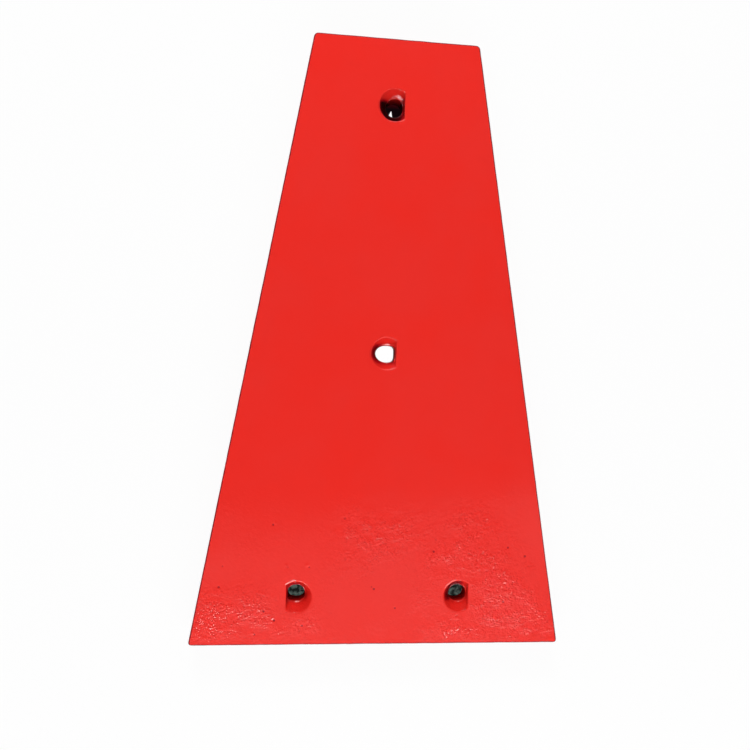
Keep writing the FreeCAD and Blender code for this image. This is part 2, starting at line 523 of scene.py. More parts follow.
def hole_profile(rim, ledge_width, ledge_fall, bore):
    """From the mouth to the exit: the circle's radius and height, the flat's distance and height."""
    rings = []
    steps = rim_steps(*rim)
    rim_start = SEAT_MOUTH_RADIUS - steps[-1][1] * SEAT_SLOPE + steps[-1][0]
    for (inwards, down), on_flat in zip(steps, arc_steps(len(steps) - 1, 90)):
        rings.append((
            rim_start - inwards,
            THICKNESS - down,
            FLAT_OFFSET + RIM_RADIUS * on_flat[0],
            THICKNESS - RIM_RADIUS * on_flat[1],
        ))
    cone_top = rings[-1][1]
    ledge_height = THICKNESS - (SEAT_MOUTH_RADIUS - bore - ledge_width) / SEAT_SLOPE
    for share in even_shares(CONE_STEPS):
        height = cone_top + (ledge_height - cone_top) * share
        radius = SEAT_MOUTH_RADIUS - (THICKNESS - height) * SEAT_SLOPE
        rings.append((radius, height, FLAT_OFFSET, height))
    lip = min(LIP_RADIUS, ledge_width)
    for share in LEDGE_SHARES:
        radius = bore + lip + (ledge_width - lip) * (1 - share)
        height = ledge_height - (ledge_width - lip) * ledge_fall * share
        rings.append((radius, height, FLAT_OFFSET, height))
    lip_top = rings[-1][1]
    for inwards, down in arc_steps(LIP_STEPS, 90)[1:]:
        height = lip_top - lip * down
        rings.append((bore + lip * inwards, height, FLAT_OFFSET, height))
    bore_top = rings[-1][1]
    for share in even_shares(BORE_STEPS):
        height = bore_top + (EXIT_RADIUS - bore_top) * share
        rings.append((bore, height, FLAT_OFFSET, height))
    for upwards, outwards in arc_steps(EXIT_STEPS, 90)[1:]:
        radius = bore + EXIT_RADIUS * outwards
        height = EXIT_RADIUS * upwards
        rings.append((radius, height, FLAT_OFFSET + radius - bore, height))
    return rings


print("steps over the rim:", len(rim_steps(1.0, 0.0, 0.0)) - 1)

# %% [markdown]
# A whole hole is such a chain in each of 120 directions, read as rings. The directions differ a little, as
# on the real plate: the ledge is ragged, the wall wobbles, and the seat's core lay a millimetre or two
# off the bore. The circle and the flat are blended with a soft minimum, which rounds the two corners of
# the D. Modelling these by hand would take a sculpting brush, and each hole would have to be done anew.

# %% The rings of a whole hole
HOLE_STEPS = 120
SEAT_BLEND = 1.1 * MM
SEAT_SHIFT_ENDS = (10 * MM, 20 * MM)
FLAT_FACING = 0.2

# How ragged a hole is round its axis, and what that does to the widths of its bevel and its ledge:
# the least share of each width, and what raggedness adds.
RAGGED_LENGTH = 0.35
RAGGED_SPREAD = 90 * MM
BEVEL_RAGGED = (0.7, 0.5)
LEDGE_RAGGED = (0.8, 0.4)
WIDE_LEDGE_RAGGED = (0.7, 0.6)

# The wobble of the wall, deeper in the seat than in the bore, and the bumps on the ledge alone.
SEAT_WOBBLE = 0.35 * MM
SEAT_WOBBLE_LENGTH = 13 * MM
SEAT_WOBBLE_RISE = 9 * MM
SEAT_WOBBLE_ENDS = 22 * MM
BORE_WOBBLE_SHARE = 0.25
LEDGE_WOBBLE = 0.15 * MM
LEDGE_WOBBLE_LENGTH = 2.8 * MM
LEDGE_DEPTHS = (4 * MM, 9 * MM)
LEDGE_HEIGHTS = (8 * MM, 16 * MM)


def blended(angle, side, radius, round_height, flat, flat_height):
    """How far the wall is from the axis in a direction, and its height, between circle and flat."""
    towards_flat = math.cos(angle) * side
    if towards_flat <= FLAT_FACING:
        return radius, round_height
    to_flat = flat / towards_flat
    on_flat = smooth_step(radius - to_flat, -SEAT_BLEND, SEAT_BLEND)
    return soft_min(radius, to_flat, SEAT_BLEND), round_height + (flat_height - round_height) * on_flat


def soft_min(a, b, blend):
    """The smaller of two values, rounded off where they cross."""
    mix = max(0.0, blend - abs(a - b)) / blend
    return min(a, b) - mix * mix * blend / 4


def widened(ragged, least, gain):
    """The share of a width that a ragged place has."""
    return least + gain * ragged


def rim_at(seat, angle, ragged):
    """The rim in one direction: the size of its rounding, the bevel's width and the bevel's slope."""
    degrees = math.degrees(angle)
    on_bevel = smooth_step(degrees, *BEVEL_STARTS_DEG) * (1 - smooth_step(degrees, *BEVEL_ENDS_DEG))
    bevel = seat["bevel"] * MM * on_bevel * widened(ragged, *BEVEL_RAGGED)
    return seat["rim_size"], bevel, np.interp(degrees, BEVEL_PLACES_DEG, seat["bevel_slopes"])


def ledge_at(seat, angle, ragged):
    """The width of the ledge in one direction."""
    direction, extra = seat["wide_ledge"]
    ledge = seat["ledge"] * MM * widened(ragged, *LEDGE_RAGGED)
    return ledge + extra * MM * side_share(angle, direction) * widened(ragged, *WIDE_LEDGE_RAGGED)


def wobble(x, y, height):
    """How far the wall and the height of a hole's point stray there."""
    depth = THICKNESS - height
    on_ledge = smooth_step(depth, *LEDGE_DEPTHS) * smooth_step(height, *LEDGE_HEIGHTS)
    rise = LEDGE_WOBBLE * on_ledge * wave((x, y), LEDGE_WOBBLE_LENGTH, SLICES["ledge"])
    in_seat = 1 - smooth_step(depth, 0.0, SEAT_WOBBLE_ENDS)
    noise_slice = SLICES["seat"] + (height + rise) / SEAT_WOBBLE_RISE
    share = BORE_WOBBLE_SHARE + (1 - BORE_WOBBLE_SHARE) * in_seat
    return SEAT_WOBBLE * share * wave((x, y), SEAT_WOBBLE_LENGTH, noise_slice), rise


def hole_column(axis, seat, angle):
    """The points down a hole's wall in one direction from its axis."""
    across, along = math.cos(angle), math.sin(angle)
    ragged = 0.5 + 0.5 * wave((across, along), RAGGED_LENGTH, axis.y / RAGGED_SPREAD)
    rim, ledge = rim_at(seat, angle, ragged), ledge_at(seat, angle, ragged)
    column = []
    for ring in hole_profile(rim, ledge, seat["ledge_fall"], bore_reach(angle, seat)):
        reach, height = blended(angle, seat["flat_side"], *ring)
        in_seat = 1 - smooth_step(THICKNESS - height, *SEAT_SHIFT_ENDS)
        shift_x, shift_y = (shift * in_seat * MM for shift in seat["seat_shift"])
        stray, rise = wobble(axis.x + reach * across, axis.y + reach * along, height)
        reach, height = reach + stray, height + rise
        x, y = axis.x + shift_x + reach * across, axis.y + shift_y + reach * along
        lift = skin_height(x, y) * smooth_step(height, 0.0, THICKNESS)
        column.append((x, y, height + lift))
    return column


holes = {}
for name, axis in bores.items():
    angles = [2 * math.pi * step / HOLE_STEPS for step in range(HOLE_STEPS)]
    columns = [hole_column(axis, SEATS[name], angle) for angle in angles]
    holes[name] = [list(ring) for ring in zip(*columns)]
print("rings in each hole:", {name: len(rings) for name, rings in holes.items()})

# %% [markdown]
# Two flat faces are left, the wear face and the back, each between the outline and four holes. One large
# polygon couldn't follow the skin, and a square grid shows in a gloss as straight lines. So the
# points lie in a slightly shaken honeycomb, closer together where the skin is rough.

# %% Points inside a face
POINT_SEED = 5
POINT_SHAKE = 0.12
ROW_SPACING = 0.866
SLANT_ALLOWANCE = 1.02


def inside_outline(x, y, margin):
    """Whether a point is inside the tapering outline, at least a margin from its edge."""
    if abs(y) > HALF_LENGTH - margin:
        return False
    share = (y + HALF_LENGTH) / (2 * HALF_LENGTH)
    half_width = HALF_WIDE_END + (HALF_NARROW_END - HALF_WIDE_END) * share
    return abs(x) < half_width - margin * SLANT_ALLOWANCE


def clear_of_holes(x, y, margin):
    """Whether a point is farther than a margin from every bore's axis."""
    return all(math.hypot(x - axis.x, y - axis.y) > margin for axis in bores.values())


def honeycomb(spacing, y_from, y_to, edge_margin, hole_margin, draw):
    """Shaken honeycomb points from one Y to another, clear of the plate's edge and its holes."""
    points = []
    rows = math.ceil((y_to - y_from) / (spacing * ROW_SPACING))
    columns = math.ceil(HALF_WIDE_END / spacing)
    for row in range(rows):
        for column in range(-columns, columns + 1):
            shake_x = draw.uniform(-POINT_SHAKE, POINT_SHAKE) * spacing
            shake_y = draw.uniform(-POINT_SHAKE, POINT_SHAKE) * spacing
            x = (column + 0.5 * (row % 2)) * spacing + shake_x
            y = y_from + row * spacing * ROW_SPACING + shake_y
            if clear_of_holes(x, y, hole_margin) and inside_outline(x, y, edge_margin):
                points.append((x, y))
    return points


sample = honeycomb(10 * MM, -HALF_LENGTH, HALF_LENGTH, 0.0, BORE_RADIUS, random.Random(POINT_SEED))
print("points of a 10 mm honeycomb:", len(sample))

# %% [markdown]
# A planar triangulation fills each face: it keeps the loops as they are and takes any points in between.
# It also fills the holes and what lies outside the outline, so the triangles that don't belong
# to the face are dropped. Only those with all their corners on one loop can be such.

# %% Fill a face between its loops
SAME_POINT = 1e-8


def fill_face(outer, inner_loops, points, height_at):
    """Triangles between an outer loop, the loops of the holes and loose points in between.

    Returns the new points' places and the triangles, counted over outer, holes and points in turn.
    """
    flat = [Vector(p[:2]) for p in outer]
    edges = [(i, (i + 1) % len(outer)) for i in range(len(outer))]
    owner = [0] * len(outer)
    for number, loop in enumerate(inner_loops, start=1):
        start = len(flat)
        flat += [Vector(p[:2]) for p in loop]
        edges += [(start + i, start + (i + 1) % len(loop)) for i in range(len(loop))]
        owner += [number] * len(loop)
    flat += [Vector(p) for p in points]
    owner += [-1] * len(points)
    _, _, triangles, sources, _, _ = geometry.delaunay_2d_cdt(flat, edges, [], 0, SAME_POINT)
    kept = []
    for triangle in triangles:
        corners = [sources[i][0] for i in triangle]
        owners = {owner[i] for i in corners}
        if len(owners) > 1 or owners == {-1} or belongs(corners, owners == {0}, flat):
            kept.append(corners)
    places = [(x, y, height_at(x, y)) for x, y in points]
    return places, kept


def belongs(corners, on_outline, flat):
    """Whether a triangle with all its corners on one loop is part of the face.

    In loop order such a triangle turns anticlockwise inside its loop and clockwise outside it.
    """
    a, b, c = (flat[i] for i in sorted(corners))
    inside_loop = (b - a).cross(c - a) > 0
    return inside_loop == on_outline


# %% [markdown]
# The plate is one casting, so its mesh is one closed skin: wear face, edge, back and four holes, joined
# ring to ring with shared points. Separate pieces that only touch would show seams in the gloss. The
# loops round each hole's mouth and on the larger marks get extra points, so that they come out clean.

# %% Sew the skin together
class Skin:
    """Points and faces of one closed mesh, gathered ring by ring."""

    def __init__(self):
        self.points = []
        self.faces = []

    def add(self, places):
        """Adds points and returns their numbers."""
        first = len(self.points)
        self.points += places
        return list(range(first, first + len(places)))

    def join(self, one, other):
        """Joins two rings of equally many points with a band of faces."""
        count = len(one)
        for i in range(count):
            following = (i + 1) % count
            self.faces.append((one[i], one[following], other[following], other[i]))

    def band(self, rings):
        """Adds rings one after the other, joined, and returns the first's and the last's numbers."""
        numbers = [self.add(ring) for ring in rings]
        for one, other in zip(numbers, numbers[1:]):
            self.join(one, other)
        return numbers[0], numbers[-1]


# How far apart the points of a face are, and how clear they stay of its loops.
FINE_SPACING = 2.75 * MM
MIDDLE_SPACING = 4.3 * MM
BACK_SPACING = 9 * MM
FINE_UP_TO_Y = -120 * MM
FINE_GAP = 1.5 * MM
HOLE_HALO = [1.7 * MM, 3.9 * MM]
HOLE_CLEAR = SEAT_MOUTH_RADIUS + RIM_RADIUS * SEAT_SLOPE + HOLE_HALO[-1] + 1.6 * MM
EDGE_CLEAR = WEAR_EDGE[0][0] * MM + 2.6 * MM
EXIT_CLEAR = BORE_RADIUS + 6 * MM
BACK_EDGE_CLEAR = 9 * MM
MARK_RINGS = (0.35, 0.7, 1.1, 1.5)
MARK_RING_POINTS = 10
BACK_SWELL = 0.05 * MM
BACK_SWELL_LENGTH = 90 * MM


def halo(loop, axis, distance):
    """A loop of points a little outside a hole's mouth, so that the fill starts evenly."""
    points = []
    for x, y, _ in loop[::2]:
        away = Vector((x, y)) - axis
        place = axis + away * (1 + distance / away.length)
        points.append((place.x, place.y))
    return points


def mark_points():
    """Rings of extra points on the marks listed one by one. The inner rings are turned by half a step."""
    points = []
    for mark_x, mark_y, radius, _ in marks[: len(STANDING_MARKS)]:
        for share in MARK_RINGS:
            for step in range(MARK_RING_POINTS):
                angle = 2 * math.pi * (step + 0.5 * (share < 1)) / MARK_RING_POINTS
                x = mark_x + radius * share * math.cos(angle)
                y = mark_y + radius * share * math.sin(angle)
                if clear_of_holes(x, y, HOLE_CLEAR) and inside_outline(x, y, EDGE_CLEAR):
                    points.append((x, y))
    return points


def build_skin():
    """The whole plate as one mesh."""
    skin = Skin()
    draw = random.Random(POINT_SEED)
    wear_edge, back_edge = skin.band(edge_rings)
    mouths, exits, wear_points = [], [], []
    for name, rings in holes.items():
        mouth, exit_ring = skin.band(rings)
        mouths.append((mouth, rings[0]))
        exits.append((exit_ring, rings[-1]))
        for distance in HOLE_HALO:
            wear_points += halo(rings[0], bores[name], distance)
    middle_from_y = FINE_UP_TO_Y + FINE_GAP
    wear_points += honeycomb(FINE_SPACING, -HALF_LENGTH, FINE_UP_TO_Y, EDGE_CLEAR, HOLE_CLEAR, draw)
    wear_points += honeycomb(MIDDLE_SPACING, middle_from_y, HALF_LENGTH, EDGE_CLEAR, HOLE_CLEAR, draw)
    wear_points += mark_points()
    back_points = honeycomb(BACK_SPACING, -HALF_LENGTH, HALF_LENGTH, BACK_EDGE_CLEAR, EXIT_CLEAR, draw)
    fill(skin, (wear_edge, edge_rings[0]), mouths, wear_points, wear_height)
    fill(skin, (back_edge, edge_rings[-1]), exits, back_points, back_height)
    return skin


def wear_height(x, y):
    """Height of the wear face at a point."""
    return THICKNESS + skin_height(x, y)


def back_height(x, y):
    """Height of the back face at a point: it seats on the chamber's wall, so it is nearly flat."""
    return BACK_SWELL * (1 + wave((x, y), BACK_SWELL_LENGTH, SLICES["back"]))


def fill(skin, outer, inner, points, height_at):
    """Fills a face between rings that the skin already has."""
    numbers = list(outer[0])
    for ring_numbers, _ in inner:
        numbers += ring_numbers
    places, triangles = fill_face(outer[1], [ring for _, ring in inner], points, height_at)
    numbers += skin.add(places)
    skin.faces += [tuple(numbers[i] for i in triangle) for triangle in triangles]


skin = build_skin()
print("points:", len(skin.points), "faces:", len(skin.faces))

# %% [markdown]
# The order of the corners of every face decides which way it looks, and it is easy to get wrong for half of
# the rings. Blender can turn all faces of a closed mesh outwards, so that is left to it. The faces are
# shaded smooth. Only the bevel's top ring, which went in first, stays sharp: there the ground edge
# meets the cast skin. An edge that doesn't join exactly two faces would be a gap, so they are counted.

# %% Make the plate
def make_plate(skin):
    """The dressed plate as an object, with its faces turned outwards."""
    mesh = bpy.data.meshes.new("cheek_plate_skin")
    mesh.from_pydata(skin.points, [], skin.faces)
    mesh.validate()
    plate = bpy.data.objects.new("cheek_plate_skin", mesh)
    bpy.context.scene.collection.objects.link(plate)
    bpy.context.view_layer.objects.active = plate
    bpy.ops.object.mode_set(mode="EDIT")
    bpy.ops.mesh.select_all(action="SELECT")
    bpy.ops.mesh.normals_make_consistent(inside=False)
    bpy.ops.object.mode_set(mode="OBJECT")
    mesh.polygons.foreach_set("use_smooth", [True] * len(mesh.polygons))
    for edge in mesh.edges:
        if max(edge.vertices) < len(outline):
            edge.use_edge_sharp = True
    return plate


plate = make_plate(skin)
plate.data.calc_loop_triangles()
edge_uses = {}
for polygon in plate.data.polygons:
    for key in polygon.edge_keys:
        edge_uses[key] = edge_uses.get(key, 0) + 1
open_edges = sum(1 for uses in edge_uses.values() if uses != 2)
print("triangles:", len(plate.data.loop_triangles), "open edges:", open_edges)

# %% [markdown]
# The paint needs to know two things that only the shape can tell it: how rough the skin is, and how much
# painted shade darkens its red. The painted shade grows down the bolt holes, to near black deep in the top
# one, lies lighter on the sides and the back, fills the pits of the marks, and draws a thin dark line along
# the edges.
# A painted texture would need the plate unwrapped first. Two numbers stored on each point, as
# attributes that a material can read by name, do without.

# %% Tell the paint where it is
# Painted shade: how much it darkens the sides and the back, and the thin dark line along the edges, which
# varies at random along them.
SIDE_PAINTED_SHADE = 0.22
EDGE_PAINTED_SHADE = 0.75
EDGE_SHADE_DEPTHS = (0.02 * MM, 0.20 * MM)
EDGE_ENDS = (2.5 * MM, 6.0 * MM)
# Painted shade that begins just inside a hole's rim.
CONE_PAINTED_SHADE = 0.07
# Painted shade in the pits of the marks.
PIT_PAINTED_SHADE = 0.90
PIT_SHADE_DEPTHS = (0.12 * MM, 0.30 * MM)
BACK_FACE_REACH = 0.15 * MM
HOLE_SHADE_REACH = SEAT_MOUTH_RADIUS + 3 * MM
CONE_BEGINS = (0.5 * MM, 3 * MM)
EDGE_SHADE_UNEVENNESS = [(5 * MM, 0.7, "shade_streaks"), (40 * MM, 0.3, "shade_clouds")]


def store(mesh, name, values):
    """Stores one number for each point of a mesh."""
    attribute = mesh.attributes.new(name, "FLOAT", "POINT")
    attribute.data.foreach_set("value", values)


def painted_shade_at(x, y, z):
    """How much painted shade darkens the red: 0 on the wear face, up to 1 deep in a hole, less on the sides.
    """
    depth = THICKNESS + skin_height(x, y) - z
    for name, axis in bores.items():
        from_axis = Vector((x, y)) - axis
        if z > BACK_FACE_REACH and from_axis.length < HOLE_SHADE_REACH:
            return painted_shade_in_hole(SEATS[name], math.atan2(from_axis.y, from_axis.x), depth)
    # On the wear face, painted shade darkens the pits of the marks.
    if depth < EDGE_SHADE_DEPTHS[0]:
        return PIT_PAINTED_SHADE * smooth_step(-marks_height(x, y), *PIT_SHADE_DEPTHS)
    edge = EDGE_PAINTED_SHADE + (SIDE_PAINTED_SHADE - EDGE_PAINTED_SHADE) * smooth_step(depth, *EDGE_ENDS)
    uneven = 1 + sum(much * wave((x, y), long, SLICES[kind]) for long, much, kind in EDGE_SHADE_UNEVENNESS)
    return min(1.0, edge * uneven * smooth_step(depth, *EDGE_SHADE_DEPTHS))


def painted_shade_in_hole(seat, angle, depth):
    """How much painted shade darkens a hole's wall, in a direction from its axis: above 1 it darkens towards
    black.
    """
    share, at_wall = max((side_share(angle, wall[0]), wall[1:]) for wall in seat["walls"])
    others = seat["other_walls"]
    start, end = [(others[i] + (at_wall[i] - others[i]) * share) * MM for i in range(2)]
    cone = CONE_PAINTED_SHADE * smooth_step(depth, *CONE_BEGINS)
    deep_shade = seat["deep_shade"] * (1 - share)
    return cone + (1 + deep_shade - cone) * smooth_step(depth, start, end)


points = [vertex.co.copy() for vertex in plate.data.vertices]
store(plate.data, "skin_roughness", [roughness_at(p.x, p.y) for p in points])
store(plate.data, "painted_shade", [painted_shade_at(*p) for p in points])
print("stored attributes:", [a.name for a in plate.data.attributes if a.data_type == "FLOAT"])

# %% [markdown]
# The finish is built from nodes. A material needs the same few again and again: a noise of a stated size, a
# stretch from one range to another, a sum or a product, and a blend of two colours. Each gets a short
# helper here, so that a material below reads like a recipe. The node editor would do as well, but
# a script can be read, and run again, from top to bottom.

# %% Helpers for the paint
def new_material(name):
    """An empty node material, its nodes and its links."""
    material = bpy.data.materials.new(name)
    material.use_nodes = True
    nodes = material.node_tree.nodes
    nodes.clear()
    return material, nodes, material.node_tree.links


def add(nodes, kind, **sockets):
    """Adds a node and sets its sockets by name."""
    node = nodes.new(kind)
    for name, value in sockets.items():
        node.inputs[name.replace("_", " ")].default_value = value
    return node


def noise_at(nodes, links, coordinates, length, detail=2.0):
    """A noise whose swells are about this length apart, from 0 to 1."""
    node = add(nodes, "ShaderNodeTexNoise", Scale=1 / length, Detail=detail, Roughness=0.5)
    links.new(coordinates, node.inputs["Vector"])
    return node.outputs["Fac"]


def remap(nodes, links, value, from_range, to_range=(0.0, 1.0)):
    """Stretches a value from one range to another, and holds it there."""
    node = nodes.new("ShaderNodeMapRange")
    links.new(value, node.inputs["Value"])
    for socket, number in zip(("From Min", "From Max", "To Min", "To Max"), from_range + to_range):
        node.inputs[socket].default_value = number
    return node.outputs["Result"]


def combine(nodes, links, operation, one, other):
    """Adds or multiplies two values, of which the second may be a plain number."""
    node = nodes.new("ShaderNodeMath")
    node.operation = operation
    links.new(one, node.inputs[0])
    if isinstance(other, (int, float)):
        node.inputs[1].default_value = other
    else:
        links.new(other, node.inputs[1])
    return node.outputs[0]


def mix_colours(nodes, links, share, one, other):
    """Blends two colours by a share. Each is four numbers or a socket."""
    node = nodes.new("ShaderNodeMix")
    node.data_type = "RGBA"
    links.new(share, node.inputs["Factor"])
    for colour, socket in ((one, node.inputs[6]), (other, node.inputs[7])):
        if isinstance(colour, tuple):
            socket.default_value = colour
        else:
            links.new(colour, socket)
    return node.outputs[2]


print("helpers ready: new_material, add, noise_at, remap, combine, mix_colours")

# %% [markdown]
# The finish is a thick coat of glossy red enamel, sprayed straight over the cast skin. Its colour is nearly
# even, with faint clouds where the coat is thicker. Its gloss is what shows the surface: fine ripples,
# called orange peel, and grains of sand under the paint. Those are too small for the mesh, so
# they are bumps made of noise in the material, stronger where the skin is rough. The grains' colour also
# carries a painted highlight on their tops and painted shade between them. A Principled shader does the
# rest.

# %% The red enamel
RED_FULL = (0.860, 0.0225, 0.0150, 1.0)
RED_CLOUD = (0.845, 0.0260, 0.0190, 1.0)
RED_RIDGE_HIGHLIGHT = (0.950, 0.0420, 0.0340, 1.0)
RED_PIT_SHADE = (0.560, 0.0060, 0.0055, 1.0)
# Painted shade: the red darkened down the bolt holes, on the sides, along the edges and in pits, to near
# black deep in the top hole.
RED_SHADED = (0.440, 0.0045, 0.0090, 1.0)
RED_DEEP_SHADE = (0.260, 0.0040, 0.0070, 1.0)
NEAR_BLACK_SHADE = (0.022, 0.0015, 0.0022, 1.0)

# The colours of ever deeper painted shade, and over which part of the stored shade each comes in.
SHADE_COLOURS = [((0.0, 0.5), RED_SHADED), ((0.5, 1.0), RED_DEEP_SHADE), ((1.0, 1.5), NEAR_BLACK_SHADE)]

# Noise runs from 0 to 1, mostly near its middle. These are the parts of it that are stretched.
CLOUD_NOISE = (0.35, 0.65)
GLOSS_NOISE = (0.3, 0.7)
# Painted shade between the grains and a painted highlight on their tops.
GRAIN_HIGHLIGHT_AND_SHADE = [((0.45, 0.30), RED_PIT_SHADE), ((0.55, 0.70), RED_RIDGE_HIGHLIGHT)]

CLOUD_LENGTH = 95 * MM
CLOUD_DETAIL = 4.0
GLOSS_LENGTH = 30 * MM
GLOSS_DETAIL = 3.0
GLOSS_ROUGHNESS = (0.11, 0.16)
GRAIN_LENGTHS = (4.1 * MM, 2.4 * MM)
GRAIN_HEIGHTS = (1.20 * MM, 0.90 * MM)
GRAIN_STRETCH = (0.85, 1.0, 1.0)
SMOOTH_PART_GRAIN = 0.01
GRAIN_PAINTED_LIGHT_FROM = (0.10, 1.00)
GRAIN_PAINTED_LIGHT_SHARE = 0.60
ENAMEL_IOR = 1.5


def named_attribute(nodes, name):
    """A number that is stored on the points of the mesh."""
    node = nodes.new("ShaderNodeAttribute")
    node.attribute_name = name
    return node.outputs["Fac"]


def bump_on(nodes, links, height, distance, under):
    """A bump from a height, laid over another one if there is one."""
    node = add(nodes, "ShaderNodeBump", Distance=distance, Strength=1.0)
    links.new(height, node.inputs["Height"])
    if under is not None:
        links.new(under, node.inputs["Normal"])
    return node.outputs["Normal"]


def red_enamel():
    """Glossy red paint on a cast skin."""
    material, nodes, links = new_material("red_enamel")
    place = nodes.new("ShaderNodeTexCoord").outputs["Object"]
    rough = named_attribute(nodes, "skin_roughness")
    shade_amount = named_attribute(nodes, "painted_shade")

    stretch = nodes.new("ShaderNodeVectorMath")
    stretch.operation = "MULTIPLY"
    links.new(place, stretch.inputs[0])
    stretch.inputs[1].default_value = GRAIN_STRETCH
    grains = [noise_at(nodes, links, stretch.outputs["Vector"], length) for length in GRAIN_LENGTHS]

    clouds = noise_at(nodes, links, place, CLOUD_LENGTH, CLOUD_DETAIL)
    colour = mix_colours(nodes, links, remap(nodes, links, clouds, CLOUD_NOISE), RED_FULL, RED_CLOUD)
    # Painted highlight on the grains' tops and painted shade between them, where the skin is rough.
    grain_painted_light = remap(nodes, links, rough, GRAIN_PAINTED_LIGHT_FROM, (0.0, GRAIN_PAINTED_LIGHT_SHARE))
    for noise_range, paint in GRAIN_HIGHLIGHT_AND_SHADE:
        share = remap(nodes, links, grains[-1], noise_range)
        share = combine(nodes, links, "MULTIPLY", share, grain_painted_light)
        colour = mix_colours(nodes, links, share, colour, paint)
    # Painted shade from the stored attribute: down the holes, on the sides and edges, and in pits.
    for shade_range, paint in SHADE_COLOURS:
        colour = mix_colours(nodes, links, remap(nodes, links, shade_amount, shade_range), colour, paint)

    uneven = noise_at(nodes, links, place, GLOSS_LENGTH, GLOSS_DETAIL)
    gloss = remap(nodes, links, uneven, GLOSS_NOISE, GLOSS_ROUGHNESS)

    normal = None
    rough_share = remap(nodes, links, rough, (0.0, 1.0), (SMOOTH_PART_GRAIN, 1.0))
    for grain, height in zip(grains, GRAIN_HEIGHTS):
        grain_height = combine(nodes, links, "MULTIPLY", grain, rough_share)
        normal = bump_on(nodes, links, grain_height, height, normal)

    shader = add(nodes, "ShaderNodeBsdfPrincipled", IOR=ENAMEL_IOR)
    links.new(colour, shader.inputs["Base Color"])
    links.new(gloss, shader.inputs["Roughness"])
    links.new(normal, shader.inputs["Normal"])
    output = nodes.new("ShaderNodeOutputMaterial")
    links.new(shader.outputs["BSDF"], output.inputs["Surface"])
    return material


plate.data.materials.append(red_enamel())
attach(plate, "root")
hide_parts(NODE)
print("painted:", plate.data.materials[0].name)

# %% [markdown]
# The plate lies on a plain white floor, as in a catalogue picture. A floor that is only lit would need
# strong lamps to turn white, and they would bleach the plate. So the floor glows white to the camera,
# and a share of plain paint keeps the plate's soft shadow. Through the bolt holes one looks under the plate.
# Thin sheets there glow their colour to the camera: painted shade of rough dark ground under the lower
# holes, white under the middle one, and under the top one a near-black painted shade with a painted red
# reflection of the bore's wall, and a pale sliver.

# %% Materials of the floor
FLOOR_GLOW_SHARE = 0.94
FLOOR_WHITE = (0.80, 0.80, 0.80, 1.0)
FLOOR_UNSEEN = (0.32, 0.32, 0.32, 1.0)
# Painted shade of the ground under the lower holes, glowing to the camera.
GROUND_SHADE = (0.006, 0.008, 0.007, 1.0)
GROUND_SHADE_LIGHTER = (0.085, 0.115, 0.100, 1.0)
WHITE = (1.0, 1.0, 1.0, 1.0)
# Near-black painted shade and a painted red reflection of the bore's wall, glowing to the camera under the
# top hole.
CORNER_SHADE = (0.005, 0.002, 0.003, 1.0)
CRIMSON_REFLECTION = (0.034, 0.0010, 0.0026, 1.0)
GROUND_GRAIN = 6 * MM
GROUND_DETAIL = 3.0
GROUND_NOISE = (0.42, 0.66)
REFLECTION_BETWEEN = (7 * MM, 14 * MM)


def stage_material(name, colour, unseen_colour, glow_colour, glow_share):
    """Plain paint that glows to the camera by a share, and is duller where the plate mirrors it."""
    material, nodes, links = new_material(name)
    paint = add(nodes, "ShaderNodeBsdfDiffuse")
    glow = add(nodes, "ShaderNodeEmission", Color=glow_colour, Strength=1.0)
    seen = nodes.new("ShaderNodeLightPath").outputs["Is Camera Ray"]
    links.new(mix_colours(nodes, links, seen, unseen_colour, colour), paint.inputs["Color"])
    share = combine(nodes, links, "MULTIPLY", seen, glow_share)
    mix = nodes.new("ShaderNodeMixShader")
    links.new(share, mix.inputs["Fac"])
    links.new(paint.outputs["BSDF"], mix.inputs[1])
    links.new(glow.outputs["Emission"], mix.inputs[2])
    output = nodes.new("ShaderNodeOutputMaterial")
    links.new(mix.outputs["Shader"], output.inputs["Surface"])
    return material


def glow_with(material, colour):
    """Gives a stage material's glow a colour that varies from place to place."""
    glow = next(node for node in material.node_tree.nodes if node.type == "EMISSION")
    material.node_tree.links.new(colour, glow.inputs["Color"])
    return material


def shaded_ground():
    """Painted shade of dark greenish ground with lighter grains, glowing to the camera through the lower
    holes.
    """
    material = stage_material("shaded_ground", GROUND_SHADE, GROUND_SHADE, GROUND_SHADE, 1.0)
    nodes, links = material.node_tree.nodes, material.node_tree.links
    place = nodes.new("ShaderNodeTexCoord").outputs["Object"]
    grains = noise_at(nodes, links, place, GROUND_GRAIN, GROUND_DETAIL)
    share = remap(nodes, links, grains, GROUND_NOISE)
    return glow_with(material, mix_colours(nodes, links, share, GROUND_SHADE, GROUND_SHADE_LIGHTER))


def shaded_corner(axis):
    """Near-black painted shade, with a painted red reflection of the bore's wall towards +Y."""
    material = stage_material("shaded_corner", CORNER_SHADE, CORNER_SHADE, CORNER_SHADE, 1.0)
    nodes, links = material.node_tree.nodes, material.node_tree.links
    split = nodes.new("ShaderNodeSeparateXYZ")
    links.new(nodes.new("ShaderNodeTexCoord").outputs["Object"], split.inputs[0])
    share = remap(nodes, links, split.outputs["Y"], tuple(axis.y + off for off in REFLECTION_BETWEEN))
    return glow_with(material, mix_colours(nodes, links, share, CORNER_SHADE, CRIMSON_REFLECTION))


floor_white = stage_material("floor_white", FLOOR_WHITE, FLOOR_UNSEEN, WHITE, FLOOR_GLOW_SHARE)
white_card = stage_material("white_card", FLOOR_WHITE, FLOOR_WHITE, WHITE, 1.0)
under_lower_holes = shaded_ground()
under_top_hole = shaded_corner(bores["top_bolt_hole"])
print("stage materials:", [m.name for m in (floor_white, white_card, under_lower_holes, under_top_hole)])

# %% Lay out the floor
HALF_FLOOR = 30.0
FLOOR_DEPTH = 0.6 * MM
GROUND_RADIUS = 34 * MM
GROUND_CORNERS = 24
GROUND_DEPTH = 0.4 * MM
SLIVER_DEPTH = 0.2 * MM

